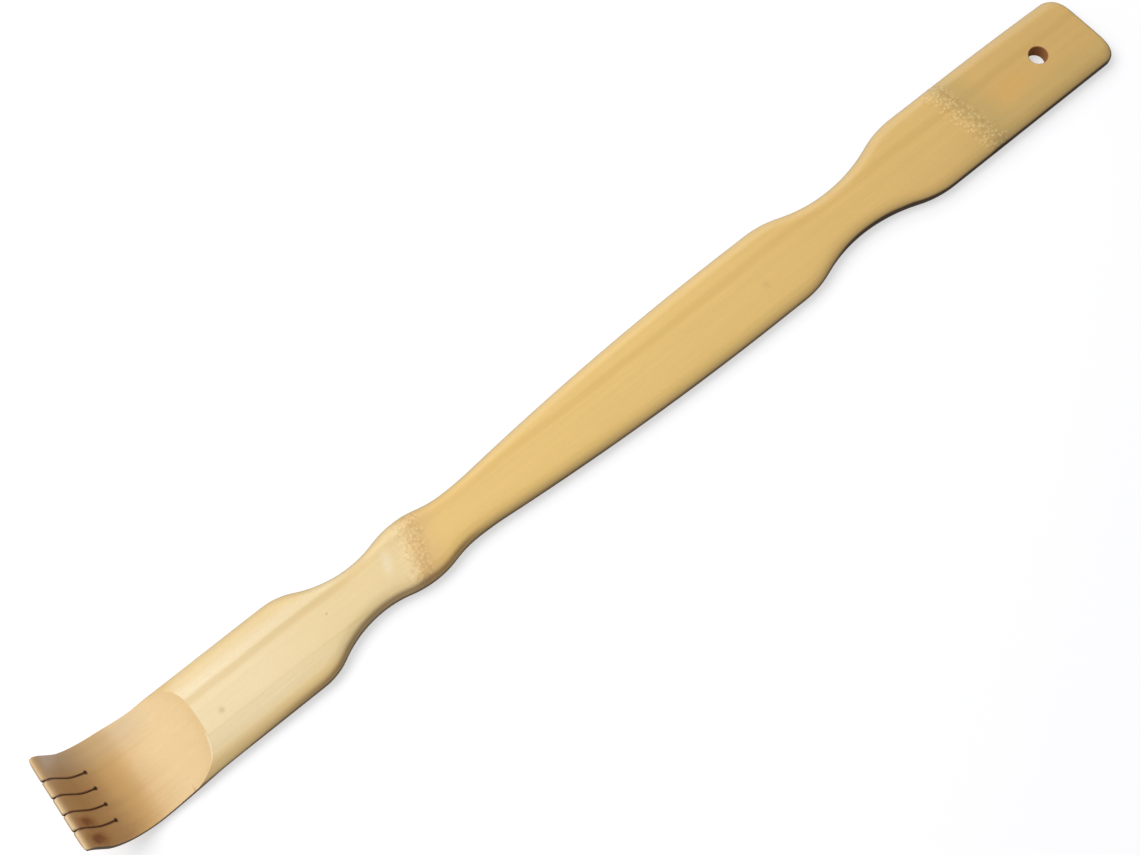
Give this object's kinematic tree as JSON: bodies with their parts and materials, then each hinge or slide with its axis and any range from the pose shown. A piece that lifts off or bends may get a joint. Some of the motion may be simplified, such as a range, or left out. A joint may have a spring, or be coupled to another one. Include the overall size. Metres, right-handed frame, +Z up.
{
  "type": "back scratcher",
  "caption": "Flat bamboo slat with a waisted grip, a drilled hanging tab at one end and a thin upturned claw with slit fingers at the other, for scratching one's own back.",
  "frame": {"origin": "under the middle of the length, on the plane of the flat underside", "axes": "+X along the slat from the claw to the hanging tab, +Z up, the way the claw's fingers point"},
  "size_m": [0.45, 0.0366, 0.0309],
  "materials": {
    "bamboo": "satin, clear-sealed, lengthwise fibres",
    "bamboo_ring": "satin, speckled with cut fibre ends",
    "toasted_bamboo": "satin, browned by the heat of bending"
  },
  "bodies": {
    "root": {"finger_1": "toasted_bamboo", "finger_2": "toasted_bamboo", "finger_3": "toasted_bamboo", "finger_4": "toasted_bamboo", "finger_5": "toasted_bamboo", "claw": "toasted_bamboo", "palm": "bamboo", "lower_culm_ring": "bamboo_ring", "grip": "bamboo", "upper_culm_ring": "bamboo_ring", "hanging_tab": "bamboo"}
  },
  "joints": []
}
